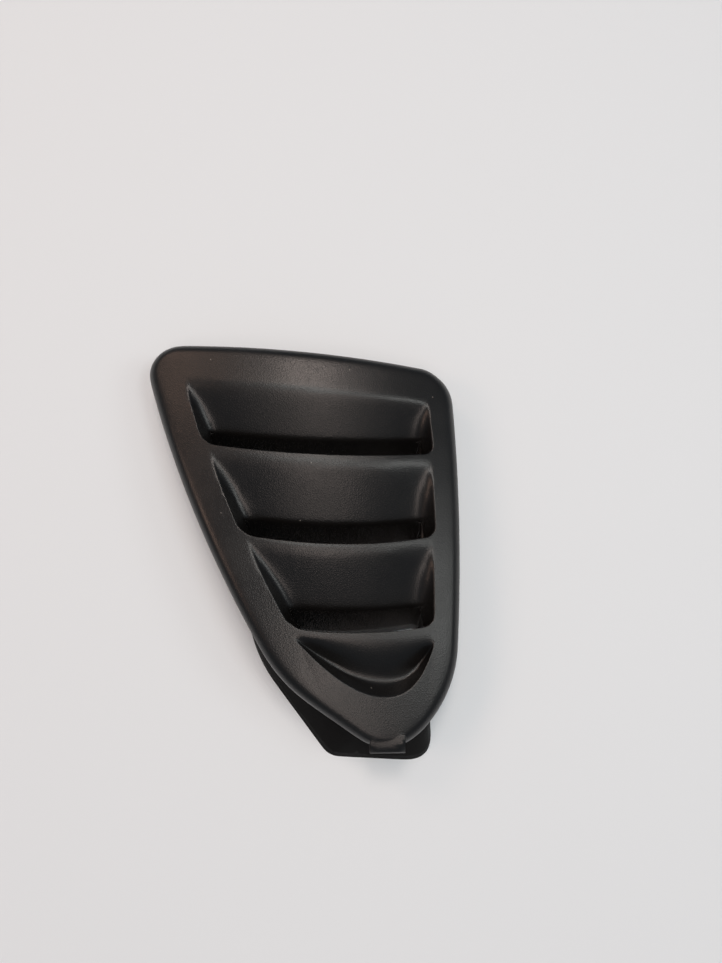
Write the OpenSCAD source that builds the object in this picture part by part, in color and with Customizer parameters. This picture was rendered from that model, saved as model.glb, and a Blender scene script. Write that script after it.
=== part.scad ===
// Side air deflector: one moulded shell with three louvred scoops and a blind one, a rim that
// rolls over all round, guide vanes, and a raked duct collar on the back that it stands on.
// Millimetres. The foot of the collar is on z = 0, the louvred face looks up, +y is the wide end.

/* [Rim outline] */
// Width over the rim, from the flank corner to the straight side
rim_width = 120.2; // [118:0.2:124]
// Length over the rim, from the wide end to the tip
rim_length = 151.4; // [148:0.2:156]
// Angle between the flank and the straight side where the flank starts, at its upper corner
flank_lean = 17.5; // [16:0.25:19]
// Bow radius of the flank
flank_bow_r = 490; // [440:5:600]
// Angle between the edge from knee to tip and the straight side
tip_lean = 55.5; // [54:0.5:58]
// Drop of the side corner below the flank corner
top_drop = 8.8; // [7:0.2:10]
// How far the straight side draws in at the heel
side_taper = 1.75; // [1:0.25:3]
// Corner radius where the flank meets the wide end
flank_corner_r = 11; // [9.5:0.5:13]
// Corner radius where the straight side meets the wide end
side_corner_r = 15; // [13:0.5:18]
// Radius of the knee between the flank and the tip
knee_r = 58; // [50:1:66]
// Radius of the tip
tip_r = 17.5; // [15:0.5:20]
// Radius of the heel between the tip and the straight side
heel_r = 44; // [40:0.5:48]
// Bow radius of the straight side
side_bow_r = 800; // [600:20:1600]
// Bow radius of the wide end
top_bow_r = 3000; // [1500:20:6000]

/* [Shell] */
// Wall of the moulding
wall = 2.3; // [1.8:0.1:2.7]
// Height of the middle of the face above the foot of the collar
face_height = 26; // [24:0.5:30]
// Crown radius across the face
crown_across_r = 210; // [180:5:400]
// Crown radius along the face
crown_along_r = 800; // [600:10:2000]
// Radius of the roll at the rim
roll_r = 4.4; // [3.6:0.1:5]
// Depth of the rim below the face
rim_depth = 7.6; // [6.6:0.1:8.6]

/* [Scoops] */
// Width of the frame between the scoops and the flank
flank_frame = 12.9; // [12:0.1:13.8]
// Width of the frame between the scoops and the straight side
side_frame = 9.9; // [9:0.1:11]
// Extra width of the frame at the flank beside the bend of a ramp
flank_spread = 0.8; // [0:0.1:1.6]
// Extra width of the frame at the straight side beside the bend of a ramp
side_spread = 1; // [0:0.1:2]
// Distance from the wide end to the bend of the first ramp
first_bend = 16.6; // [15.5:0.1:18]
// Distance from the wide end to the first lip
first_lip = 43.2; // [42:0.1:44]
// Distance from the first lip to the second
second_lip = 33.2; // [32:0.1:34]
// Distance from the second lip to the third
third_lip = 31.4; // [30.5:0.1:32.5]
// Gap between a trailing edge and the lip after it, seen from above
mouth_gap = 7.4; // [6.8:0.1:8]
// Width of the crest behind the first lip
first_crest = 2.2; // [1.6:0.1:3]
// Width of the crest behind the second lip
second_crest = 1.2; // [1:0.1:2]
// Drop of a ramp from the face to its trailing edge's roll
ramp_drop = 8.2; // [7:0.1:9]
// Run over which the face bends into a ramp
bend_run = 4; // [3:0.1:5]
// Radius of the roll at a trailing edge
edge_r = 6; // [4:0.1:7]
// Width of the hollow side wall of a scoop, from its crisp edge to its floor
side_wall_w = 7.4; // [6.4:0.1:8.4]
// Corner rounding of a scoop at the flank
flank_round = 5.4; // [4.4:0.1:6]
// Corner rounding of a scoop at the straight side
side_round = 3.8; // [3:0.1:4.4]
// Depth of the blind scoop
blind_depth = 5.6; // [4.5:0.1:6.5]
// Reach of the blind scoop from the last lip towards the tip
blind_reach = 22.2; // [21:0.1:23]

/* [Collar] */
// Wall of the duct collar
collar_wall = 2.3; // [1.8:0.1:2.7]
// Lean of the collar and the vanes towards the tip
rake = 32; // [29:0.5:33]
// Thickness of the guide vanes
vane_t = 1.8; // [1.4:0.1:2.4]
// Height of the vanes' lower edges above the foot of the collar
vane_lift = 1.5; // [1:0.1:3]
// Thickness of the stiffening ribs
rib_t = 1.5; // [1.2:0.1:2]
// Width of the snap hooks
hook_w = 9; // [6:0.5:12]
// Reach of the snap hooks past the collar wall
hook_reach = 1.8; // [1.2:0.1:2.2]

/* [Tab] */
// Width of the locating tab at the tip
tab_w = 12.4; // [10:0.2:14]
// Reach of the locating tab past the rim
tab_reach = 1.8; // [1.2:0.1:2.4]

/* [Hidden] */

function unit(v) = v / norm(v);
function dir(a) = [cos(a), sin(a)];
function mix(a, b, t) = a + (b - a) * t;
function angle_of(v) = atan2(v[1], v[0]);

// Rim outline: arcs that run into each other, each [centre, radius, first angle, last angle]
flank_c = [flank_corner_r - rim_width / 2, rim_length / 2 - flank_corner_r];
side_c = [rim_width / 2 - side_corner_r, rim_length / 2 - top_drop - side_corner_r];
tip_from = 310;
heel_c = [rim_width / 2 - side_taper - heel_r,
          tip_r - rim_length / 2 - (heel_r - tip_r) * sin(tip_from)];
tip_c = heel_c + (heel_r - tip_r) * dir(tip_from);
// Centre of an arc of radius R that touches two circles from outside them
function bow_centre(c1, r1, c2, r2, R) =
    let (d = norm(c2 - c1), u = unit(c2 - c1), a = R - r1, b = R - r2,
         along = (a * a - b * b + d * d) / (2 * d), off = sqrt(a * a - along * along))
    c1 + along * u + off * [-u[1], u[0]];
side_bow_c = bow_centre(heel_c, heel_r, side_c, side_corner_r, side_bow_r);
top_bow_c = bow_centre(side_c, side_corner_r, flank_c, flank_corner_r, top_bow_r);
// Centre of the flank's bow, which runs on from the upper corner
flank_a1 = 180 + flank_lean;
flank_bow_c = flank_c - (flank_bow_r - flank_corner_r) * dir(flank_a1);
// Centre of the knee: it touches the flank's bow and the line from the knee to the tip
tip_a1 = 180 + tip_lean;
knee_gap = (tip_c - flank_bow_c) * dir(tip_a1) + tip_r - knee_r;
flank_a2 = tip_a1 - acos(knee_gap / (flank_bow_r - knee_r));
knee_c = flank_bow_c + (flank_bow_r - knee_r) * dir(flank_a2);
top_a1 = angle_of(side_c - top_bow_c);
top_a2 = angle_of(flank_c - top_bow_c);
side_a1 = angle_of(heel_c - side_bow_c) + 360;
side_a2 = angle_of(side_c - side_bow_c) + 360;
ARCS = [
    [top_bow_c, top_bow_r, top_a1, top_a2, 8],
    [flank_c, flank_corner_r, top_a2, flank_a1, 24],
    [flank_bow_c, flank_bow_r, flank_a1, flank_a2, 16],
    [knee_c, knee_r, flank_a2, tip_a1, 8],
    [tip_c, tip_r, tip_a1, tip_from, 14],
    [heel_c, heel_r, tip_from, side_a1, 14],
    [side_bow_c, side_bow_r, side_a1, side_a2, 8],
    [side_c, side_corner_r, side_a2, 360 + top_a1, 24]
];
// Points [x, y, angle of the outward normal] right round the rim
OUTLINE = [for (arc = ARCS) for (k = [0:arc[4]])
    let (a = mix(arc[2], arc[3], k / arc[4]), p = arc[0] + arc[1] * dir(a)) [p[0], p[1], a]];

// Corners of the face grid on the rim, as angles of the normal
FLANK_TOP_A = 124;
SIDE_TOP_A = 360 + 41;
HEEL_A = 330;
knee_low_y = 19 - rim_length / 2;
flank_top = flank_c + flank_corner_r * dir(FLANK_TOP_A);
side_top = side_c + side_corner_r * dir(SIDE_TOP_A);
heel_low = heel_c + heel_r * dir(HEEL_A);

// Tables that give a point of one side of the rim from its y, or of one end from its x
function table(from, to, key, value) =
    [for (p = OUTLINE) if (p[2] >= from && p[2] <= to) [p[key], p[value]]];
FLANK_X = table(100, 290, 1, 0);
FLANK_N = table(100, 290, 1, 2);
SIDE_X = table(310, 430, 1, 0);
SIDE_N = table(310, 430, 1, 2);
TIP_Y = table(215, 345, 0, 1);
TIP_N = table(215, 345, 0, 2);
TOP_Y = concat(table(395, 999, 0, 1), table(0, 170, 0, 1));
TOP_N = [for (e = concat(table(395, 999, 0, 2), table(0, 170, 0, 2)))
    [e[0], e[1] > 360 ? e[1] - 360 : e[1]]];
function on_flank(y) = [lookup(y, FLANK_X), y, lookup(y, FLANK_N)];
function on_side(y) = [lookup(y, SIDE_X), y, lookup(y, SIDE_N)];
function on_tip(x) = [x, lookup(x, TIP_Y), lookup(x, TIP_N)];
function on_top(x) = [x, lookup(x, TOP_Y), lookup(x, TOP_N)];
function inset(p, s) = [p[0], p[1]] - s * dir(p[2]);

// Height of the crowned face
crown_x = 5;
crown_lean = 0.1;
function face_z(p) = face_height
    - pow(p[0] - crown_x + crown_lean * p[1], 2) / (2 * crown_across_r)
    - pow(p[1], 2) / (2 * crown_along_r);

// Crisp side edges of the scoops
function edge_x_flank(y) = lookup(y, FLANK_X) + flank_frame / cos(lookup(y, FLANK_N) - 180);
function edge_x_side(y) = lookup(y, SIDE_X) - side_frame;

// Shape of a row of the face grid across the scoops: [rise at the flank, rise at the side, power of
// each rise, place of the low point between the two crisp edges, share of the frames' extra width]
LIP_SHAPES = [[5.2, 1.9, 2, 2, 0.63, 0], [3.8, 3.6, 2, 2, 0.54, 0], [2, 2.6, 2, 2.4, 0.41, 0]];
BEND_SHAPE = [5, -3, 1, 1, 0.6, 1];
SPREAD_ONLY = [0, 0, 0, 0, 0, 1];
function shape_at_bend(n) = n == 0 ? BEND_SHAPE : LIP_SHAPES[n - 1] + SPREAD_ONLY;
function shape_at_edge(n) = LIP_SHAPES[n] + 0.2 * SPREAD_ONLY;

// Places of the bends and lips, measured at the low point of each
top_y = lookup(0, TOP_Y);
LIPS = [top_y - first_lip, top_y - first_lip - second_lip, top_y - first_lip - second_lip - third_lip];
BENDS = [top_y - first_bend, LIPS[0] - first_crest, LIPS[1] - second_crest];
SCOOPS = len(LIPS);

// Ramp: it bends away from the face over bend_run, goes straight down to its full drop over the
// run to the roll, and the roll turns it down to the rake of the vanes
steep = 90 - rake;
function roll_y(slope, a) = edge_r * (sin(a) - sin(slope));
function roll_z(slope, a) = edge_r * (cos(slope) - cos(a));
function slope_over(run) = atan(2 * ramp_drop / (2 * run - bend_run));
function whole_run(n) = BENDS[n] - LIPS[n] - mouth_gap;
function slope_of(n) = slope_over(whole_run(n) - roll_y(slope_over(whole_run(n)), steep));
function run_of(n) = whole_run(n) - roll_y(slope_of(n), steep);
function ramp_depth(s, run) = ramp_drop / (2 * run - bend_run)
    * (s < bend_run ? s * s / bend_run : 2 * s - bend_run);

// The side walls start narrow at the bend and reach their full width over this run
WIDEN_RUN = 18;
function widen(s, start) = min(1, start + s / WIDEN_RUN);
// Rows close under and close behind a lip, which keep its edge crisp
UNDER_LIP = 0.35;
CREST = 0.8;
ROLL_STEPS = 3;
RAMP_STEPS = 3;
// Rows of the face grid, from the wide end to the tip. Each is [low y, shape, floor depth, roll drop,
// width factors of the flank and side walls]
function scoop_rows(n) = let (y0 = BENDS[n], lip_y = LIPS[n], run = run_of(n), slope = slope_of(n),
        from = shape_at_bend(n), to = shape_at_edge(n), mouth = ramp_drop + roll_z(slope, steep),
        marks = concat([0, bend_run / 2], [for (k = [0:RAMP_STEPS]) mix(bend_run, run, k / RAMP_STEPS)]))
    concat(
    [for (s = marks)
        [y0 - s, mix(from, to, s / whole_run(n)), ramp_depth(s, run), 0, widen(s, 0.35), widen(s, 0.3)]],
    [for (k = [1:ROLL_STEPS]) let (a = mix(slope, steep, k / ROLL_STEPS), s = run + roll_y(slope, a))
        [y0 - s, mix(from, to, s / whole_run(n)), ramp_drop, roll_z(slope, a), 1, 1]],
    [[lip_y + mouth_gap * 0.45, LIP_SHAPES[n], mouth, 0, 0.97, 0.9],
     [lip_y + UNDER_LIP, LIP_SHAPES[n], mouth, 0, 0.95, 0.82],
     [lip_y, LIP_SHAPES[n], 0, 0, 0.95, 0.82],
     [lip_y - CREST, LIP_SHAPES[n], 0, 0, 0.9, 0.8]]);
SCOOP_ROWS = RAMP_STEPS + ROLL_STEPS + 7;
ROLL_ROW = RAMP_STEPS + ROLL_STEPS + 2;
LIP_ROW = ROLL_ROW + 3;
last_lip = LIPS[SCOOPS - 1];
// Blind scoop, in shares of its reach: [place, rise at the flank, rise at the side, depth share,
// width factor of the flank wall, which fades out softly]
BLIND = [[0.16, 0.14, 0.05, 0, 1], [0.33, 0.28, 0.2, 0.22, 1.4], [0.52, 0.44, 0.36, 0.62, 1.9],
         [0.7, 0.6, 0.52, 1, 2.2], [0.79, 0.68, 0.59, 0.96, 2.2], [0.9, 0.78, 0.68, 0.5, 2],
         [1, 0.86, 0.76, 0, 1.8], [1.05, 0.88, 0.79, 0, 1.8]];
BLIND_ROWS = [for (b = BLIND)
    [last_lip - b[0] * blind_reach, [b[1] * blind_reach, b[2] * blind_reach, 1.7, 2.9, 0.62, 0],
     b[3] * blind_depth, 0, b[4], 0.7]];
TOP_ROWS = 4;
ROWS = concat([for (n = [0:SCOOPS - 1]) each scoop_rows(n)], BLIND_ROWS);
first_blind = TOP_ROWS + SCOOPS * SCOOP_ROWS;
NY = TOP_ROWS + len(ROWS);
// Where a row of the grid meets the crisp edges
function flank_y(r) = r[0] + r[1][0];
function side_y(r) = r[0] + r[1][1];

// Columns of the face grid: [wall offset share, share of the floor depth] beside each crisp edge
WALL_COLS = [[0, 0], [0.22, 0.46], [0.46, 0.78], [0.72, 0.94], [1, 1]];
FLOOR_COLS = 8;
EDGE = 3;
NX = 2 * EDGE + 2 * len(WALL_COLS) + FLOOR_COLS - 1;
FAR_EDGE = NX - EDGE;
MOUTH_FROM = EDGE + 2;
MOUTH_TO = FAR_EDGE - 2;
function wall_share(i) =
    i <= EDGE || i >= FAR_EDGE ? 0
    : i - EDGE < len(WALL_COLS) ? WALL_COLS[i - EDGE][1]
    : FAR_EDGE - i < len(WALL_COLS) ? WALL_COLS[FAR_EDGE - i][1] : 1;

// A row between its two crisp edges
function row_y(r, xl, xr, x) = let (h = r[1], xc = mix(xl, xr, h[4]))
    r[0] + (x < xc ? h[0] * pow(min(1, (xc - x) / (xc - xl)), h[2])
                   : h[1] * pow(min(1, (x - xc) / (xr - xc)), h[3]));
function row_x(r, xl, xr, i) =
    let (k = max(0, i - EDGE), m = max(0, FAR_EDGE - i), n = len(WALL_COLS), wl = side_wall_w * r[4],
         wr = 1.16 * side_wall_w * r[5])
    k < n ? xl + WALL_COLS[k][0] * wl
    : m < n ? xr - WALL_COLS[m][0] * wr
    : mix(xl + wl, xr - wr, (k - n + 1) / (FLOOR_COLS + 1));

// Where a row meets the rim
LAST_LIP_ROW = ROWS[first_blind - TOP_ROWS - 1];
function flank_ring_y(j) =
    j <= TOP_ROWS ? mix(flank_top[1], flank_y(ROWS[0]), j / TOP_ROWS)
    : j < first_blind ? flank_y(ROWS[j - TOP_ROWS])
    : mix(flank_y(LAST_LIP_ROW), knee_low_y, (j - first_blind + 1) / (NY - first_blind + 1));
function side_ring_y(j) =
    j <= TOP_ROWS ? mix(side_top[1], side_y(ROWS[0]), j / TOP_ROWS)
    : j < first_blind ? side_y(ROWS[j - TOP_ROWS])
    : mix(side_y(LAST_LIP_ROW), heel_low[1], (j - first_blind + 1) / (NY - first_blind + 1));

// Rounded corner: a point of the curve that cuts the corner k between a and b
function cut_corner(a, k, b, t) = (1 - t) * (1 - t) * a + 2 * t * (1 - t) * k + t * t * b;

// Plan position of a grid point inside the scoop rows
function row_points(j) =
    let (r = ROWS[j - TOP_ROWS], yl = flank_y(r), yr = side_y(r),
         xl = edge_x_flank(yl) + flank_spread * r[1][5], xr = edge_x_side(yr) - side_spread * r[1][5],
         ring_l = inset(on_flank(flank_ring_y(j)), roll_r), ring_r = inset(on_side(side_ring_y(j)), roll_r),
         in_scoop = j < first_blind ? (j - TOP_ROWS) % SCOOP_ROWS : -1,
         is_lip = in_scoop == LIP_ROW || in_scoop == LIP_ROW - 1,
         lip_r = is_lip ? ROWS[j - TOP_ROWS + LIP_ROW - in_scoop] : r,
         kl = [xl, flank_y(lip_r)], kr = [xr, side_y(lip_r)],
         al = [edge_x_flank(kl[1] + 0.9 * flank_round), kl[1] + 0.9 * flank_round],
         ar = [edge_x_side(kr[1] + side_round), kr[1] + side_round],
         bl = [xl + flank_round, row_y(lip_r, xl, xr, xl + flank_round)],
         br = [xr - side_round, row_y(lip_r, xl, xr, xr - side_round)],
         lift = [0, r[0] - lip_r[0]])
    [for (i = [0:NX])
        let (x = row_x(r, xl, xr, i), p = [x, row_y(r, xl, xr, x)],
             s = x - xl, m = xr - x)
        i == 0 ? ring_l
        : i == 1 ? mix(ring_l, [xl, yl], 0.5)
        : i == 2 ? [xl, yl] + CREST * unit(ring_l - [xl, yl])
        : i == NX ? ring_r
        : i == NX - 1 ? mix(ring_r, [xr, yr], 0.5)
        : i == NX - 2 ? [xr, yr] + CREST * unit(ring_r - [xr, yr])
        : is_lip && i == EDGE ? cut_corner(al, kl, bl, in_scoop == LIP_ROW ? 0.5 : 0.34)
        : is_lip && i == FAR_EDGE ? cut_corner(ar, kr, br, in_scoop == LIP_ROW ? 0.5 : 0.34)
        : is_lip && s < flank_round ? cut_corner(al, kl, bl, 0.5 + 0.5 * s / flank_round) + lift
        : is_lip && m < side_round ? cut_corner(ar, kr, br, 0.5 + 0.5 * m / side_round) + lift
        : p];
BODY = [for (j = [TOP_ROWS:NY - 1]) row_points(j)];
// The row on the rim at the wide end and at the tip takes its spacing from the row next to it
function end_row(near, a, b) = [for (i = [0:NX])
    mix(a[0], b[0], (near[i][0] - near[0][0]) / (near[NX][0] - near[0][0]))];
TOP_X = end_row(BODY[0], flank_top, side_top);
TIP_X = end_row(BODY[first_blind - TOP_ROWS], on_flank(knee_low_y), heel_low);
TOP_RING = [for (i = [0:NX])
    i == 0 ? [flank_top[0], flank_top[1], FLANK_TOP_A]
    : i == NX ? [side_top[0], side_top[1], SIDE_TOP_A - 360] : on_top(TOP_X[i])];
TIP_RING = [for (i = [0:NX])
    i == 0 ? on_flank(knee_low_y) : i == NX ? [heel_low[0], heel_low[1], HEEL_A] : on_tip(TIP_X[i])];
TOP_ROW = [for (p = TOP_RING) inset(p, roll_r)];
TIP_ROW = [for (p = TIP_RING) inset(p, roll_r)];
// All plan points of the grid, row by row
PLAN = concat([TOP_ROW],
    [for (j = [1:TOP_ROWS - 1]) [for (i = [0:NX])
        i == 0 ? inset(on_flank(flank_ring_y(j)), roll_r)
        : i == NX ? inset(on_side(side_ring_y(j)), roll_r) : mix(TOP_ROW[i], BODY[0][i], j / TOP_ROWS)]],
    BODY, [TIP_ROW]);

// Depth of a grid point below the face
function drop(i, j) =
    j < TOP_ROWS || j == NY ? 0
    : let (r = ROWS[j - TOP_ROWS], f = wall_share(i)) f * r[2] + f * f * r[3];
TOP_Z = [for (j = [0:NY]) [for (i = [0:NX]) face_z(PLAN[j][i]) - drop(i, j)]];

// Slope of the face grid at a point, from its neighbours along the row and the column
function grade(i, j) =
    let (i0 = max(0, i - 1), i1 = min(NX, i + 1), j0 = max(0, j - 1), j1 = min(NY, j + 1),
         a = PLAN[j][i1] - PLAN[j][i0], b = PLAN[j1][i] - PLAN[j0][i],
         za = TOP_Z[j][i1] - TOP_Z[j][i0], zb = TOP_Z[j1][i] - TOP_Z[j0][i],
         det = a[0] * b[1] - a[1] * b[0])
    norm([za * b[1] - zb * a[1], zb * a[0] - za * b[0]] / det);
function scoop_row(j) = j < TOP_ROWS || j >= first_blind ? -1 : (j - TOP_ROWS) % SCOOP_ROWS;
function in_mouth(i, j) = scoop_row(j) >= ROLL_ROW && scoop_row(j) < LIP_ROW
    && i >= MOUTH_FROM && i < MOUTH_TO;
// The inside lies straight below the face, by the wall measured square to the slope
function depth_of_wall(i, j) = let (k = scoop_row(j))
    k >= ROLL_ROW - 1 && k <= LIP_ROW + 1 && i >= MOUTH_FROM && i <= MOUTH_TO ? wall * 1.12
    : wall * min(1.9, sqrt(1 + pow(grade(i, j), 2)));
function behind_lip(i, j) = let (k = scoop_row(j))
    (k == LIP_ROW || k == LIP_ROW - 1) && (i < MOUTH_FROM || i > MOUTH_TO) && i > 2 && i < NX - 2
    ? wall * 0.8 : 0;
function face_point(i, j) = [PLAN[j][i][0], PLAN[j][i][1], TOP_Z[j][i]];
function under_point(i, j) = [PLAN[j][i][0], PLAN[j][i][1] - behind_lip(i, j),
    TOP_Z[j][i] - (i == 0 || i == NX || j == 0 || j == NY ? wall : depth_of_wall(i, j))];

// Rim points, round the outline against the clock, each [x, y, angle of the normal]
RING_N = 2 * (NX + NY);
function ring_cell(k) =
    k < NY ? [0, k] : k < NY + NX ? [k - NY, NY]
    : k < 2 * NY + NX ? [NX, 2 * NY + NX - k] : [RING_N - k, 0];
RING = [for (k = [0:RING_N - 1]) let (c = ring_cell(k))
    k < NY ? (k == 0 ? TOP_RING[0] : on_flank(flank_ring_y(k)))
    : k < NY + NX ? TIP_RING[c[0]]
    : k < 2 * NY + NX ? (k == NY + NX ? TIP_RING[NX] : on_side(side_ring_y(c[1])))
    : TOP_RING[c[0]]];
// Profile of the rim from the face outwards, down, in and back up: [inset, drop below the face]
ROLL = [for (a = [18, 36, 54, 72, 90]) [roll_r * (1 - sin(a)), roll_r * (1 - cos(a))]];
INNER_ROLL = [for (a = [90, 60, 30]) [roll_r - (roll_r - wall) * sin(a),
                                      roll_r - (roll_r - wall) * cos(a)]];
RIM = concat(ROLL, [[0, rim_depth], [wall, rim_depth]], INNER_ROLL);
function rim_point(k, q) = let (p = inset(RING[k], q[0])) [p[0], p[1], face_z(p) - q[1]];

GRID_N = (NX + 1) * (NY + 1);
POINTS = concat(
    [for (j = [0:NY]) for (i = [0:NX]) face_point(i, j)],
    [for (j = [0:NY]) for (i = [0:NX]) under_point(i, j)],
    [for (q = RIM) for (k = [0:RING_N - 1]) rim_point(k, q)]);
function at(i, j) = j * (NX + 1) + i;
function under(i, j) = GRID_N + at(i, j);
function rim_at(m, k) = let (kk = k % RING_N, c = ring_cell(kk))
    m < 0 ? at(c[0], c[1]) : m >= len(RIM) ? under(c[0], c[1]) : 2 * GRID_N + m * RING_N + kk;
// A four-sided face as two triangles, split along its shorter diagonal
function split(a, b, c, d) = norm(POINTS[a] - POINTS[c]) < norm(POINTS[b] - POINTS[d])
    ? [[a, b, c], [a, c, d]] : [[a, b, d], [b, c, d]];
FACES = concat(
    [for (j = [0:NY - 1]) for (i = [0:NX - 1]) if (!in_mouth(i, j)) each concat(
        split(at(i, j), at(i + 1, j), at(i + 1, j + 1), at(i, j + 1)),
        split(under(i, j), under(i, j + 1), under(i + 1, j + 1), under(i + 1, j)))],
    [for (m = [-1:len(RIM) - 1]) for (k = [0:RING_N - 1])
        each split(rim_at(m, k), rim_at(m, k + 1), rim_at(m + 1, k + 1), rim_at(m + 1, k))],
    [for (j = [0:NY - 1]) for (i = [0:NX - 1]) if (in_mouth(i, j)) each concat(
        in_mouth(i, j - 1) ? [] : split(at(i, j), at(i + 1, j), under(i + 1, j), under(i, j)),
        in_mouth(i, j + 1) ? []
            : split(at(i + 1, j + 1), at(i, j + 1), under(i, j + 1), under(i + 1, j + 1)),
        in_mouth(i - 1, j) ? [] : split(at(i, j + 1), at(i, j), under(i, j), under(i, j + 1)),
        in_mouth(i + 1, j) ? []
            : split(at(i + 1, j), at(i + 1, j + 1), under(i + 1, j + 1), under(i + 1, j)))]);

module shell() polyhedron(points = POINTS, faces = FACES, convexity = 12);

// Everything over the middle of the shell's wall, mouths included: cuts what grows up from below
LID_Z = face_height + 20;
ABOVE_POINTS = concat(
    [for (j = [0:NY]) for (i = [0:NX]) face_point(i, j) - [0, 0, wall / 2]],
    [for (j = [0:NY]) for (i = [0:NX]) [PLAN[j][i][0], PLAN[j][i][1], LID_Z]]);
ABOVE_FACES = concat(
    [for (j = [0:NY - 1]) for (i = [0:NX - 1]) [at(i, j), at(i, j + 1), at(i + 1, j + 1), at(i + 1, j)]],
    [for (j = [0:NY - 1]) for (i = [0:NX - 1])
        [under(i, j), under(i + 1, j), under(i + 1, j + 1), under(i, j + 1)]],
    [for (k = [0:RING_N - 1]) let (a = rim_at(-1, k), b = rim_at(-1, k + 1))
        [b, a, a + GRID_N, b + GRID_N]]);
module above_shell() polyhedron(points = ABOVE_POINTS, faces = ABOVE_FACES, convexity = 12);

// Collar corners where it passes the rim, the shift of each down to the foot, and the lengths cut
// off each corner: [place, extra shift at the foot, cut at the rim, cut at the foot]
seat_z = 14;
in_rim = wall + 0.5;
rake_shift = [-1.6, -seat_z * tan(rake)];
collar_top = BENDS[0] - 5;
collar_offset = 1.1;
flank_high_y = -8;
flank_low_y = -34;
side_low_y = -28;
CORNERS = [
    [[edge_x_flank(collar_top) + 1, collar_top], [1, 0], 8, 8],
    [inset(on_flank(flank_high_y), in_rim + 2.4), [4, -2], 10, 10],
    [inset(on_flank(flank_low_y), in_rim), [1.5, -5.1], 10, 10],
    [tip_c - tip_r * [0.62, 0.5], [-8.1, -5.1], 4, 4],
    [heel_c + heel_r * [0.76, -0.72], [3.8, -4.9], 11, 11],
    [[edge_x_side(side_low_y) - collar_offset, side_low_y], [0.4, -1.3], 8, 8],
    [[edge_x_side(collar_top) - collar_offset, collar_top], [0, 0], 6, 6]];
function level(z) = [for (c = CORNERS) c[0] + (rake_shift + c[1]) * (1 - z / seat_z)];
// Corners moved in by d, square to both edges that meet there
function moved_in(points, d) = let (n = len(points)) [for (k = [0:n - 1])
    let (u = unit(points[k] - points[(k + n - 1) % n]), v = unit(points[(k + 1) % n] - points[k]),
         nu = [-u[1], u[0]], nv = [-v[1], v[0]])
    points[k] + d * (nu + nv) / (1 + nu * nv)];
CUT_STEPS = 6;
WALL_STEPS = 4;
// Points round the collar at one height: a curve at each corner, then steps along the wall after it
function rounded(points, z) =
    let (n = len(points), cuts = [for (k = [0:n - 1])
        let (p = points[k], cut = mix(CORNERS[k][3], CORNERS[k][2], min(1, z / seat_z)))
        [p + cut * unit(points[(k + n - 1) % n] - p), p, p + cut * unit(points[(k + 1) % n] - p)]])
    [for (k = [0:n - 1]) let (c = cuts[k], next = cuts[(k + 1) % n][0])
        for (p = concat([for (t = [0:CUT_STEPS]) cut_corner(c[0], c[1], c[2], t / CUT_STEPS)],
                        [for (t = [1:WALL_STEPS - 1]) mix(c[2], next, t / WALL_STEPS)])) [p[0], p[1], z]];
// The walls twist a little between the rim and the foot, so they are drawn in a few bands
module collar_block(z_low, z_high, d) {
    heights = [z_low, seat_z / 2, seat_z, z_high];
    rings = [for (z = heights) rounded(moved_in(level(z), d), z)];
    n = len(rings[0]);
    last = n * (len(heights) - 1);
    polyhedron(points = [for (ring = rings) each ring], convexity = 4, faces = concat(
        [[for (k = [0:n - 1]) k]], [[for (k = [n - 1:-1:0]) last + k]],
        [for (m = [0:len(heights) - 2]) for (k = [0:n - 1])
            let (a = m * n + k, b = m * n + (k + 1) % n) [a, a + n, b + n, b]]));
}
module collar() {
    difference() {
        collar_block(0, face_height, 0);
        collar_block(-1, face_height + 1, collar_wall);
        above_shell();
    }
}

// Guide vane under a trailing edge: it carries the slope of the roll on down into the duct. It is
// drawn past both ends, and with its back edge inside the shell, and the collar trims it
VANE_ENDS = 24;
VANE_SUNK = 0.8;
module vane(n) {
    j = TOP_ROWS + n * SCOOP_ROWS + ROLL_ROW;
    back = vane_t / cos(rake);
    edge = [for (i = [MOUTH_FROM + 1:MOUTH_TO - 1]) face_point(i, j)];
    far = len(edge) - 1;
    line = concat([edge[0] - [VANE_ENDS, 0, 0]], edge, [edge[far] + [VANE_ENDS, 0, 0]]);
    points = [for (p = line) let (run = (p[2] - vane_lift) * tan(rake)) each [
        p, [p[0], p[1] - run, vane_lift], [p[0], p[1] - run + back, vane_lift],
        [p[0], p[1] + back, p[2] - VANE_SUNK]]];
    last = 4 * (len(line) - 1);
    polyhedron(points = points, convexity = 4, faces = concat(
        [[0, 1, 2, 3]], [[last + 3, last + 2, last + 1, last]],
        [for (k = [0:len(line) - 2]) for (m = [0:3])
            let (a = 4 * k + m, b = 4 * k + (m + 1) % 4) [a, a + 4, b + 4, b]]));
}
module vanes() {
    intersection() {
        collar_block(-1, face_height, collar_wall / 2);
        for (n = [0:SCOOPS - 1]) vane(n);
    }
}

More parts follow.
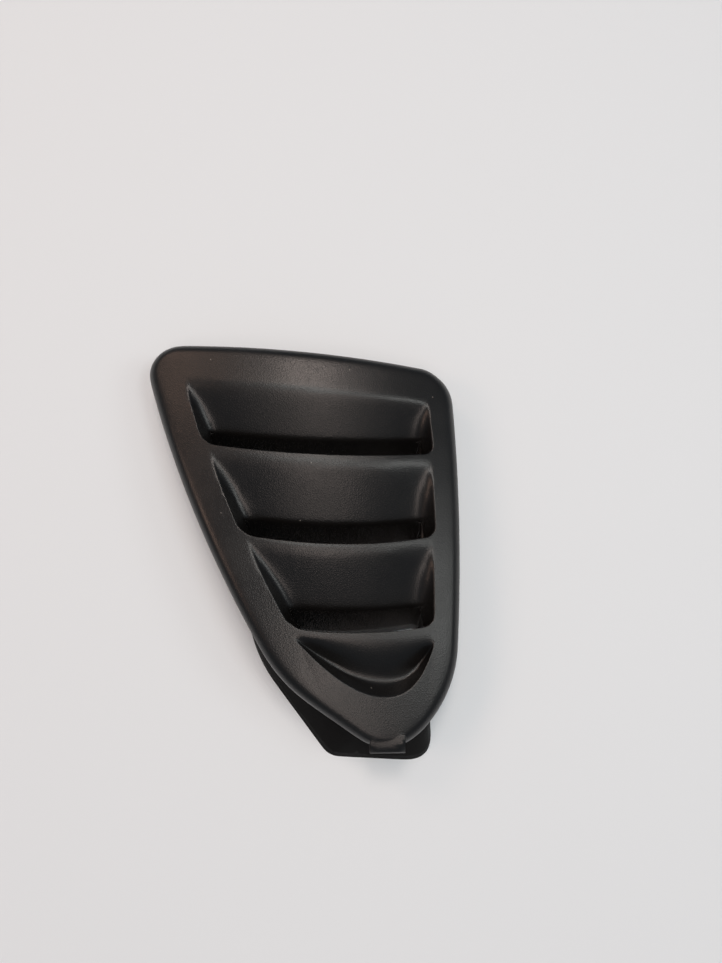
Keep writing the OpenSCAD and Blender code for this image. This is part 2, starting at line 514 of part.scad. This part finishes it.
// Stiffening rib: a web from a point by the collar to a point by the rim, under the shell
module rib(from, to) {
    hull() {
        translate([from[0], from[1], RIB_LOW])
            cylinder(d = rib_t, h = face_z(from) - wall / 2 - RIB_LOW, $fn = 8);
        translate([to[0], to[1], face_z(to) - rim_depth + 1])
            cylinder(d = rib_t, h = rim_depth - roll_r, $fn = 8);
    }
}
RIB_LOW = 7;
RIB_INSET = wall / 2;
RIBS_AT_END = [-30, 0, 30];
RIBS_AT_FLANK = [44, 22, 2];
RIBS_AT_SIDE = [38, 8, -22];
module ribs() {
    difference() {
        union() {
            for (x = RIBS_AT_END) rib([x, collar_top + 4], inset(on_top(x), RIB_INSET));
            for (y = RIBS_AT_FLANK) rib(inset(on_flank(y - 2), flank_frame), inset(on_flank(y), RIB_INSET));
            for (y = RIBS_AT_SIDE) rib([edge_x_side(y) - 2, y], inset(on_side(y), RIB_INSET));
        }
        above_shell();
        collar_block(-1, face_height + 1, collar_wall / 2);
    }
}

// Snap hook on the outside of the collar, with a sloping lead-in: its foot point and its heading.
// Its section is a list of [reach past the wall, height], each a thin bar across the hook
HOOK_Z = 2.5;
HOOK_ROOT = 1.2;
HOOK_BAR = 0.6;
HOOK_SECTION = [[0, 0], [hook_reach, 4.6], [hook_reach - 0.4, 5.6]];
module hook(place, heading) {
    translate([place[0], place[1], HOOK_Z]) rotate(heading) hull()
        for (bar = HOOK_SECTION)
            translate([-hook_w / 2, -HOOK_ROOT, bar[1]]) cube([hook_w, HOOK_ROOT + bar[0], HOOK_BAR]);
}
HOOKS_AT_END = [0.25, 0.75];
HOOKS_AT_SIDE = [0.3, 0.85];
module hooks() {
    low = level(HOOK_Z);
    difference() {
        union() {
            for (t = HOOKS_AT_END) hook(mix(low[6], low[0], t), 0);
            for (t = HOOKS_AT_SIDE) hook(mix(low[5], low[6], t), -90);
        }
        collar_block(-1, face_height + 1, collar_wall / 2);
    }
}

// Locating tab at the tip, flush with the face and rounded over like the rim. Its section is a list
// of [reach past the rim, lower height, upper height], each a thin bar across the tab
TAB_SECTION = [[tab_reach, 0, 5.4], [tab_reach - 0.6, 0, 6.4], [-0.6, 0, 7.2], [-3.4, 5.4, 7.5]];
TAB_BAR = 1.4;
module tab() {
    at_tip = on_tip(tip_c[0]);
    z = face_z(at_tip) - rim_depth;
    hull()
        for (bar = TAB_SECTION)
            translate([tip_c[0] - tab_w / 2, at_tip[1] - bar[0], z + bar[1]])
                cube([tab_w, TAB_BAR, bar[2] - bar[1]]);
}

module air_deflector() {
    color([0.1, 0.095, 0.095]) union() {
        shell();
        collar();
        vanes();
        ribs();
        hooks();
        tab();
    }
}

// The part is centred on its own length and width
LOW_Y = min([for (p = rounded(level(0), 0)) p[1]]);
HIGH_Y = max([for (p = RING) p[1]]);
LEFT_X = min([for (p = RING) p[0]]);
RIGHT_X = max([for (p = RING) p[0]]);
CENTRE = [-(LEFT_X + RIGHT_X) / 2, -(LOW_Y + HIGH_Y) / 2, 0];

translate(CENTRE) air_deflector();
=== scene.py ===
# %% [markdown]
# # A moulded side air deflector
#
# This lesson dresses one black plastic moulding: a rounded triangular face with three louvred scoops
# and a blind one, over a duct collar. The solid comes in at its real size, in metres, standing on its
# collar at z = 0 with the face up. It fixes every shape and size, and nothing here moves it. What
# is left to do is the finish: smooth flowing curves in place of flat facets, a fine leather grain on
# the face, a plainer surface on the collar, soft light, and a camera almost straight above.

# %% Load the solid
import math

import bmesh
import bpy
from mathutils import Matrix, Vector


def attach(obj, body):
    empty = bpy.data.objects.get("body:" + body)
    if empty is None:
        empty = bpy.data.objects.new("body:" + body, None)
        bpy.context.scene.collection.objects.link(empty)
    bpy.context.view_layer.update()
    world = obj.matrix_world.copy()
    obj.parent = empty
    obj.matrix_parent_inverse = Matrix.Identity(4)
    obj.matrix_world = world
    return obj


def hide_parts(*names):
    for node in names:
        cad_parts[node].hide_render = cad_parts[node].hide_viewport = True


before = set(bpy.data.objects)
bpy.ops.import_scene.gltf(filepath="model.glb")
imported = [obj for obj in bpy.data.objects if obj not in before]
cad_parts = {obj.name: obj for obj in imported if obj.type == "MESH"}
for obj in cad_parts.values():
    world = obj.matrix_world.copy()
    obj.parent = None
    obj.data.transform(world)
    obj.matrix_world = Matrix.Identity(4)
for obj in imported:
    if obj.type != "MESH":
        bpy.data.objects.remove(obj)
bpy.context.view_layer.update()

MM = 0.001
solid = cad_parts["air_deflector"]

# %% [markdown]
# ## The camera
#
# The part stands on a floor and is seen from almost straight above with a phone's wide lens. A pinhole
# camera is all that this takes: a place, a direction, and a focal length in pixels. The lens value
# follows from the focal length, because Blender measures a lens against the height of the sensor, which
# is set to 36 mm here and stands for the height of the picture.

# %% Place the camera
IMAGE_HEIGHT = 963
FOCAL_PIXELS = 723
SENSOR = 36
NEAREST_SEEN = 10 * MM
CAMERA_PLACE = Vector((11.72, -34.07, 285.0)) * MM
CAMERA_RIGHT = Vector((0.9992, -0.0084, 0.0392)).normalized()
CAMERA_UP = Vector((0.0, 0.9777, 0.2101)).normalized()

camera_data = bpy.data.cameras.new("photo_camera")
camera_data.sensor_fit = "VERTICAL"
camera_data.sensor_height = SENSOR
camera_data.lens = SENSOR * FOCAL_PIXELS / IMAGE_HEIGHT
camera_data.clip_start = NEAREST_SEEN
camera = bpy.data.objects.new("photo_camera", camera_data)
bpy.context.scene.collection.objects.link(camera)
backwards = CAMERA_RIGHT.cross(CAMERA_UP).normalized()
turned_up = backwards.cross(CAMERA_RIGHT)
camera.matrix_world = Matrix.Translation(CAMERA_PLACE) @ Matrix(
    (CAMERA_RIGHT, turned_up, backwards)).transposed().to_4x4()
bpy.context.scene.camera = camera
print("lens in mm", round(camera_data.lens, 2))

# %% [markdown]
# ## One smooth skin from a faceted solid
#
# The solid is a closed mesh of flat triangles. A moulding has none: its face flows from crown to scoop
# to rim without a break, and only its edges and feet are crisp. Shading tricks alone would leave
# straight chords along the outline, so the mesh itself is refined. The triangles are merged and
# paired back into four-sided faces, first those that make a tidy one and then the flat leftovers. The
# edges that are sharp on the real part are creased, and a Subdivision Surface modifier rounds
# everything between them.

# %% Merge the loose triangles and pair them into four-sided faces
MERGE = 0.01 * MM
# Each pairing names the most that two triangles may bend, and the most that their corners may skew.
CURVED_PAIR = (math.radians(40), math.radians(70))
FLAT_PAIR = (math.radians(1), math.radians(120))

skin = bmesh.new()
skin.from_mesh(solid.data)
bmesh.ops.remove_doubles(skin, verts=skin.verts, dist=MERGE)
bmesh.ops.dissolve_degenerate(skin, edges=skin.edges, dist=MERGE)
triangles = len(skin.faces)
for face_angle, shape_angle in (CURVED_PAIR, FLAT_PAIR):
    bmesh.ops.join_triangles(
        skin, faces=skin.faces, angle_face_threshold=face_angle, angle_shape_threshold=shape_angle)
open_edges = sum(1 for edge in skin.edges if not edge.is_manifold)
print("triangles", triangles, "faces after pairing", len(skin.faces), "open edges", open_edges)

# %% [markdown]
# ## Two finishes on one moulding
#
# The tool that moulded the part has leather grain etched where people see it: on the face, the ramps and
# the rolled rim. The outside of the collar is left as the plain steel gave it. A list of faces could
# part the two, but they meet at sharp edges, so one flood from the crown of the face, stopped by every
# sharp edge, finds the grained skin by itself. It also runs on over the vanes behind the mouths and
# over parts of the duct's inside and its foot, which are in the dark or out of sight.

# %% Find the grained faces
GRAIN, PLAIN = 0, 1
FLOOD_STOP = math.radians(50)

for face in skin.faces:
    face.material_index = PLAIN
    face.smooth = True
top = max(skin.faces, key=lambda face: face.calc_center_median().z)
top.material_index = GRAIN
front = [top]
grained = 1
while front:
    face = front.pop()
    for edge in face.edges:
        if edge.calc_face_angle(0.0) > FLOOD_STOP:
            continue
        for other in edge.link_faces:
            if other.material_index == PLAIN:
                other.material_index = GRAIN
                front.append(other)
                grained += 1
print("grained faces", grained, "plain faces", len(skin.faces) - grained)

# %% [markdown]
# ## Crisp edges with a small round
#
# No moulded edge is knife-sharp. The lips and the scoops' side edges have a small round, which catches
# the light as a thin bright line. A bevel could cut it with extra faces, but a weaker crease gives it
# with none. The round is as wide as a part of the faces beside it, so only an edge between two narrow
# faces, one or both of them grained, gets it. All other crisp edges stay sharp. An edge that bends by
# less than the soft angle has no crease, and from there the crease grows up to the crisp angle.

# %% Crease the edges that stay crisp
SOFT_ANGLE = math.radians(38)
CRISP_ANGLE = math.radians(62)
SHARP_CREASE = 1.0
ROUND_CREASE = 0.42
NARROW = 1.6 * MM

crease = skin.edges.layers.float.new("crease_edge")
rounded = 0
for edge in skin.edges:
    grained_side = any(face.material_index == GRAIN for face in edge.link_faces)
    widest = max(face.calc_area() for face in edge.link_faces) / edge.calc_length()
    share = (edge.calc_face_angle(0.0) - SOFT_ANGLE) / (CRISP_ANGLE - SOFT_ANGLE)
    small_round = grained_side and widest < NARROW
    edge[crease] = (ROUND_CREASE if small_round else SHARP_CREASE) * min(1.0, max(0.0, share))
    rounded += small_round and share > 1.0
print("crisp edges with a small round", rounded)

# %% [markdown]
# ## One piece in place of the solid
#
# The real part is one moulding, so the mesh becomes one object. The subdivision could be worked into the
# mesh, but as a modifier it stays easy to change. Two steps let the outline flow and keep the piece
# under 200,000 triangles. The limit surface is off, so points stay where those two steps put them. The
# piece rides on the root body, and the solid is hidden in its place.

# %% Make the piece
ROUNDING_STEPS = 2

skin_mesh = bpy.data.meshes.new("moulded_skin")
skin.to_mesh(skin_mesh)
skin.free()
piece = bpy.data.objects.new("moulded_skin", skin_mesh)
bpy.context.scene.collection.objects.link(piece)

rounding = piece.modifiers.new("rounding", "SUBSURF")
rounding.levels = ROUNDING_STEPS
rounding.render_levels = ROUNDING_STEPS
rounding.use_limit_surface = False
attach(piece, "root")
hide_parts("air_deflector")
print("piece", piece.name, "faces before rounding", len(skin_mesh.polygons))

# %% [markdown]
# ## Effects as node groups
#
# Grain and dust are on the same plastic in two finishes, so each is a node group that turns a place on
# the part into a number. It is built once, and each material gives it its own values. A few helpers keep
# the groups short: one starts a group, and the others add a node, a sum, a noise or a change of range.

# %% Helpers for node groups
def new_group(name, inputs, outputs):
    group = bpy.data.node_groups.new(name, "ShaderNodeTree")
    for label, kind, value in inputs:
        socket = group.interface.new_socket(name=label, in_out="INPUT", socket_type=kind)
        if value is not None:
            socket.default_value = value
    for label, kind in outputs:
        group.interface.new_socket(name=label, in_out="OUTPUT", socket_type=kind)
    return group, group.nodes.new("NodeGroupInput"), group.nodes.new("NodeGroupOutput")


def add(tree, kind, **settings):
    node = tree.nodes.new(kind)
    for key, value in settings.items():
        setattr(node, key, value)
    return node


def math_node(tree, operation, first, second):
    node = add(tree, "ShaderNodeMath", operation=operation)
    for socket, value in zip(node.inputs, (first, second)):
        if hasattr(value, "is_output"):
            tree.links.new(value, socket)
        else:
            socket.default_value = value
    return node.outputs["Value"]


def noise(tree, place, scale, detail):
    node = add(tree, "ShaderNodeTexNoise")
    node.inputs["Scale"].default_value = scale
    node.inputs["Detail"].default_value = detail
    tree.links.new(place, node.inputs["Vector"])
    return node


def remap(tree, value, low, high, to_low, to_high):
    node = add(tree, "ShaderNodeMapRange", interpolation_type="SMOOTHSTEP")
    tree.links.new(value, node.inputs["Value"])
    ends = {"From Min": low, "From Max": high, "To Min": to_low, "To Max": to_high}
    for label, number in ends.items():
        node.inputs[label].default_value = number
    return node.outputs["Result"]


# %% [markdown]
# ## The leather grain
#
# The grain is a field of small rounded pebbles with thin grooves between them, a little under a
# millimetre across. As real bumps it would take millions of faces, so it is a height that a Bump node
# turns into shading. A Voronoi texture gives the pebbles, a noise that shifts it keeps them from
# looking like a honeycomb, and a finer and lower noise roughens their tops.

# %% Build the leather grain
PEBBLES_PER_METRE = 1150.0
# A pebble rises from its groove over this share of a cell.
PEBBLE_SHOULDER = 0.34
WANDER_SCALE = 420.0
WANDER_DETAIL = 2.0
WANDER_REACH = 1.1 * MM
FINE_SCALE = 3600.0
FINE_DETAIL = 1.0
FINE_SHARE = 0.35


def make_grain():
    group, inside, outside = new_group(
        "leather_grain",
        [("Vector", "NodeSocketVector", None),
         ("Pebbles per metre", "NodeSocketFloat", PEBBLES_PER_METRE)],
        [("Height", "NodeSocketFloat")])
    place = inside.outputs["Vector"]
    wander = noise(group, place, WANDER_SCALE, WANDER_DETAIL)
    shifted = add(group, "ShaderNodeVectorMath", operation="MULTIPLY_ADD")
    group.links.new(wander.outputs["Color"], shifted.inputs[0])
    shifted.inputs[1].default_value = (WANDER_REACH, WANDER_REACH, WANDER_REACH)
    group.links.new(place, shifted.inputs[2])
    pebbles = add(group, "ShaderNodeTexVoronoi", feature="DISTANCE_TO_EDGE")
    group.links.new(shifted.outputs["Vector"], pebbles.inputs["Vector"])
    group.links.new(inside.outputs["Pebbles per metre"], pebbles.inputs["Scale"])
    crown = remap(group, pebbles.outputs["Distance"], 0.0, PEBBLE_SHOULDER, 0.0, 1.0)
    fine = noise(group, place, FINE_SCALE, FINE_DETAIL)
    fine_height = math_node(group, "MULTIPLY", fine.outputs[0], FINE_SHARE)
    height = math_node(group, "ADD", crown, fine_height)
    group.links.new(height, outside.inputs["Height"])
    return group


grain_group = make_grain()
print("grain group nodes", len(grain_group.nodes))

# %% [markdown]
# ## A few specks of dust
#
# Black plastic shows every speck. They could be tiny objects, but a mask in the material is lighter.
# Each cell of a Voronoi texture holds one dot around its point, and a random number of the cell decides
# whether the dot is kept, so the specks lie unevenly.

# %% Build the dust specks
SPECKS_PER_METRE = 150.0
# The size of a speck is its radius as a share of a cell.
SPECK_SIZE = 0.03
NO_SPECKS = 0.0
EMPTY_CELLS = 0.6


def make_dust():
    group, inside, outside = new_group(
        "dust_specks",
        [("Vector", "NodeSocketVector", None),
         ("Specks per metre", "NodeSocketFloat", SPECKS_PER_METRE),
         ("Size", "NodeSocketFloat", SPECK_SIZE)],
        [("Mask", "NodeSocketFloat")])
    cells = add(group, "ShaderNodeTexVoronoi", feature="F1")
    group.links.new(inside.outputs["Vector"], cells.inputs["Vector"])
    group.links.new(inside.outputs["Specks per metre"], cells.inputs["Scale"])
    near = math_node(group, "LESS_THAN", cells.outputs["Distance"], inside.outputs["Size"])
    split = add(group, "ShaderNodeSeparateColor")
    group.links.new(cells.outputs["Color"], split.inputs["Color"])
    kept = math_node(group, "GREATER_THAN", split.outputs["Red"], EMPTY_CELLS)
    group.links.new(math_node(group, "MULTIPLY", near, kept), outside.inputs["Mask"])
    return group


dust_group = make_dust()
print("dust group nodes", len(dust_group.nodes))

# %% [markdown]
# ## The two materials
#
# Both are the same black plastic. A Principled shader with a nearly black base gets almost all of its
# brightness from the light that it reflects, so roughness does most of the work: the grain spreads
# the reflection into a satin sheen. The plain collar is rougher and reflects little, so it stays black.
# A slow cloud makes the roughness swing a little from place to place. A Bevel node turns the shading
# close to each crisp edge, which evens out the small rounds of the lips and lets them catch one
# unbroken line of light.

# %% Build the grained and the plain plastic
BLACK = (0.0040, 0.0036, 0.0034, 1.0)
DUST = (0.23, 0.21, 0.19, 1.0)
EDGE_RADIUS = 0.5 * MM
EDGE_SAMPLES = 6
CLOUD_SCALE = 38.0
CLOUD_DETAIL = 4.0
CLOUD_LOW, CLOUD_HIGH = 0.3, 0.7


def plastic(name, gloss, roughness, swing, bump_depth, speck_size):
    material = bpy.data.materials.new(name)
    material.use_nodes = True
    tree = material.node_tree
    shader = tree.nodes["Principled BSDF"]
    shader.inputs["Specular IOR Level"].default_value = gloss
    place = add(tree, "ShaderNodeTexCoord").outputs["Object"]
    grain = add(tree, "ShaderNodeGroup", node_tree=grain_group)
    tree.links.new(place, grain.inputs["Vector"])
    cloud = noise(tree, place, CLOUD_SCALE, CLOUD_DETAIL)
    rough = remap(
        tree, cloud.outputs[0], CLOUD_LOW, CLOUD_HIGH, roughness - swing, roughness + swing)
    tree.links.new(rough, shader.inputs["Roughness"])
    edge_round = add(tree, "ShaderNodeBevel", samples=EDGE_SAMPLES)
    edge_round.inputs["Radius"].default_value = EDGE_RADIUS
    bump = add(tree, "ShaderNodeBump")
    tree.links.new(edge_round.outputs["Normal"], bump.inputs["Normal"])
    bump.inputs["Distance"].default_value = bump_depth
    tree.links.new(grain.outputs["Height"], bump.inputs["Height"])
    tree.links.new(bump.outputs["Normal"], shader.inputs["Normal"])
    specks = add(tree, "ShaderNodeGroup", node_tree=dust_group)
    tree.links.new(place, specks.inputs["Vector"])
    specks.inputs["Size"].default_value = speck_size
    colour = add(tree, "ShaderNodeMix", data_type="RGBA")
    colour.inputs["A"].default_value = BLACK
    colour.inputs["B"].default_value = DUST
    tree.links.new(specks.outputs["Mask"], colour.inputs["Factor"])
    tree.links.new(colour.outputs["Result"], shader.inputs["Base Color"])
    return material


skin_mesh.materials.append(plastic(
    "grained_black", gloss=0.47, roughness=0.34, swing=0.04, bump_depth=0.018 * MM,
    speck_size=SPECK_SIZE))
skin_mesh.materials.append(plastic(
    "plain_black", gloss=0.1, roughness=0.55, swing=0.05, bump_depth=0.006 * MM,
    speck_size=NO_SPECKS))
print("materials", [material.name for material in skin_mesh.materials])

# %% [markdown]
# ## The floor
#
# The part needs a plain pale floor to stand on, which carries its shadow and fills the rest of the
# picture. A studio sweep would do too, but the camera looks down, so one large flat face is enough.

# %% Lay the floor
# The floor reaches this far from its middle to each side, in metres.
FLOOR_REACH = 3.0
FLOOR_COLOUR = (0.74, 0.78, 0.81, 1.0)
FLOOR_ROUGHNESS = 0.7

floor_mesh = bpy.data.meshes.new("pale_floor")
sheet = bmesh.new()
bmesh.ops.create_grid(sheet, x_segments=1, y_segments=1, size=FLOOR_REACH)
sheet.to_mesh(floor_mesh)
sheet.free()
floor = bpy.data.objects.new("pale_floor", floor_mesh)
bpy.context.scene.collection.objects.link(floor)
floor_material = bpy.data.materials.new("pale_floor")
floor_material.use_nodes = True
floor_shader = floor_material.node_tree.nodes["Principled BSDF"]
floor_shader.inputs["Base Color"].default_value = FLOOR_COLOUR
floor_shader.inputs["Roughness"].default_value = FLOOR_ROUGHNESS
floor_mesh.materials.append(floor_material)
print("floor area in square metres", round(sum(face.area for face in floor_mesh.polygons), 1))

# %% [markdown]
# ## The light
#
# A black part shows its shape by what it reflects, so the light is a set of round soft boxes on a dome.
# One bright sky would be simpler, but it would lift every surface alike. The strongest lamps hang
# overhead and beyond the wide end, so the crown and the lips catch them. Nothing shines from beyond
# the tip below sixty degrees, so the ramps fall off and the mouths stay deep. A weak bluish room light
# fills what the lamps leave dark.

# %% Hang the lamps
LAMP_DISTANCE = 1.6
LAMP_SIZE = 0.5
WARM = (1.0, 0.84, 0.76)
AMBER = (1.0, 0.66, 0.5)
WHITE = (0.98, 1.0, 0.97)
# Each lamp has a name, an azimuth and an elevation in degrees, a power in watts, and a colour. Azimuth
# 0 is beyond the wide end, 90 on the straight side, 180 beyond the tip and 270 on the flank.
LAMPS = (
    ("overhead", 0, 80, 4.1, WHITE),
    ("far", 0, 62, 6.1, WARM),
    ("overhead_near", 180, 80, 3.0, WARM),
    ("near", 180, 62, 2.2, WARM),
    ("side", 90, 62, 3.6, WHITE),
    ("side_low", 90, 40, 2.3, WHITE),
    ("flank_low", 270, 40, 2.8, AMBER),
    ("flank_far", 315, 40, 2.6, AMBER),
)

for name, azimuth, elevation, power, colour in LAMPS:
    data = bpy.data.lights.new(name, "AREA")
    data.shape = "DISK"
    data.size = LAMP_SIZE
    data.energy = power
    data.color = colour
    turn, rise = math.radians(azimuth), math.radians(elevation)
    towards = Vector((
        math.sin(turn) * math.cos(rise), math.cos(turn) * math.cos(rise), math.sin(rise)))
    lamp = bpy.data.objects.new(name, data)
    lamp.location = LAMP_DISTANCE * towards
    lamp.rotation_euler = towards.to_track_quat("Z", "Y").to_euler()
    bpy.context.scene.collection.objects.link(lamp)
print("lamps", [light.name for light in bpy.data.lights])

# %% Fill the room with weak light
ROOM_COLOUR = (0.7, 0.85, 1.0, 1.0)
ROOM_STRENGTH = 0.2

world = bpy.data.worlds.new("room")
world.use_nodes = True
room_light = world.node_tree.nodes["Background"]
room_light.inputs["Color"].default_value = ROOM_COLOUR
room_light.inputs["Strength"].default_value = ROOM_STRENGTH
bpy.context.scene.world = world
print("room light", ROOM_STRENGTH)

# %% [markdown]
# ## Plain colours
#
# Blender's usual view bends contrast as film does. The Standard view shows a colour about as it is
# written, which suits a part that goes into other scenes.

# %% Keep colours plain
bpy.context.scene.view_settings.view_transform = "Standard"
print("view transform", bpy.context.scene.view_settings.view_transform)
